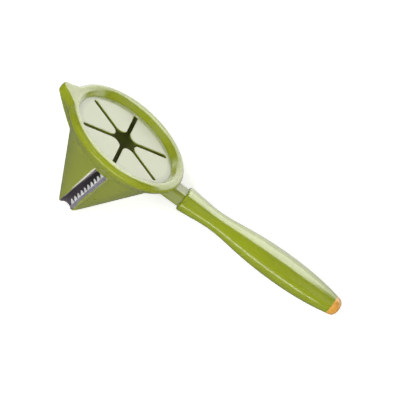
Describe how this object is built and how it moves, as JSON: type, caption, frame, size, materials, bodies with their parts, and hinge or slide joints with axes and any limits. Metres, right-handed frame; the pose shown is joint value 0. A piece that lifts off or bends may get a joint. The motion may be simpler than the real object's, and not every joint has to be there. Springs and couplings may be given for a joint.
{
  "type": "handheld spiralizer",
  "caption": "Handheld funnel-shaped vegetable spiralizer with a flexible slotted guide, a blade window along the cone, a hooked rim and a side handle.",
  "frame": {"origin": "middle of the lying tool's outline, on the surface that it lies on", "axes": "+Z away from that surface, +X towards the handle's end, +Y towards the side that the cone's mouth faces"},
  "size_m": [0.23, 0.0826, 0.079],
  "materials": {
    "cone_green": "slightly see-through moulded green plastic",
    "ring_green": "opaque moulded green plastic, satin gloss",
    "guide_green": "flexible moulded pale green plastic, glossy",
    "blade_steel": "ground steel strip",
    "handle_green": "opaque moulded green plastic, glossy",
    "screw_steel": "plated steel screw",
    "cap_orange": "moulded orange plastic"
  },
  "bodies": {
    "tool": {"cone_body": "cone_green", "rim_ring": "ring_green", "guide_band": "guide_green", "scoring_blade": "blade_steel", "slicing_blade": "blade_steel", "handle_grip": "handle_green", "handle_screw": "screw_steel", "end_cap": "cap_orange"},
    "guide_flap_1": {"guide_flap_1": "guide_green"},
    "guide_flap_2": {"guide_flap_2": "guide_green"},
    "guide_flap_3": {"guide_flap_3": "guide_green"},
    "guide_flap_4": {"guide_flap_4": "guide_green"},
    "guide_flap_5": {"guide_flap_5": "guide_green"},
    "guide_flap_6": {"guide_flap_6": "guide_green"}
  },
  "joints": [
    {"name": "guide_flap_1_bend", "type": "hinge", "parent": "tool", "child": "guide_flap_1", "pos_m": [-0.03161, 0.01227, 0.03319], "axis": [0.1314, -0.5391, 0.832], "range_deg": [-40, 60], "stiffness_Nm_per_rad": 0.005},
    {"name": "guide_flap_2_bend", "type": "hinge", "parent": "tool", "child": "guide_flap_2", "pos_m": [-0.04962, 0.02693, 0.01451], "axis": [0.9153, -0.3128, 0.2538], "range_deg": [-40, 60], "stiffness_Nm_per_rad": 0.005},
    {"name": "guide_flap_3_bend", "type": "hinge", "parent": "tool", "child": "guide_flap_3", "pos_m": [-0.07886, 0.02842, 0.02009], "axis": [0.7839, 0.2263, -0.5782], "range_deg": [-40, 60], "stiffness_Nm_per_rad": 0.005},
    {"name": "guide_flap_4_bend", "type": "hinge", "parent": "tool", "child": "guide_flap_4", "pos_m": [-0.09008, 0.01525, 0.04435], "axis": [-0.1314, 0.5391, -0.832], "range_deg": [-40, 60], "stiffness_Nm_per_rad": 0.005},
    {"name": "guide_flap_5_bend", "type": "hinge", "parent": "tool", "child": "guide_flap_5", "pos_m": [-0.07208, 0.00059, 0.06303], "axis": [-0.9153, 0.3128, -0.2538], "range_deg": [-40, 60], "stiffness_Nm_per_rad": 0.005},
    {"name": "guide_flap_6_bend", "type": "hinge", "parent": "tool", "child": "guide_flap_6", "pos_m": [-0.04284, -0.0009, 0.05745], "axis": [-0.7839, -0.2263, 0.5782], "range_deg": [-40, 60], "stiffness_Nm_per_rad": 0.005}
  ]
}
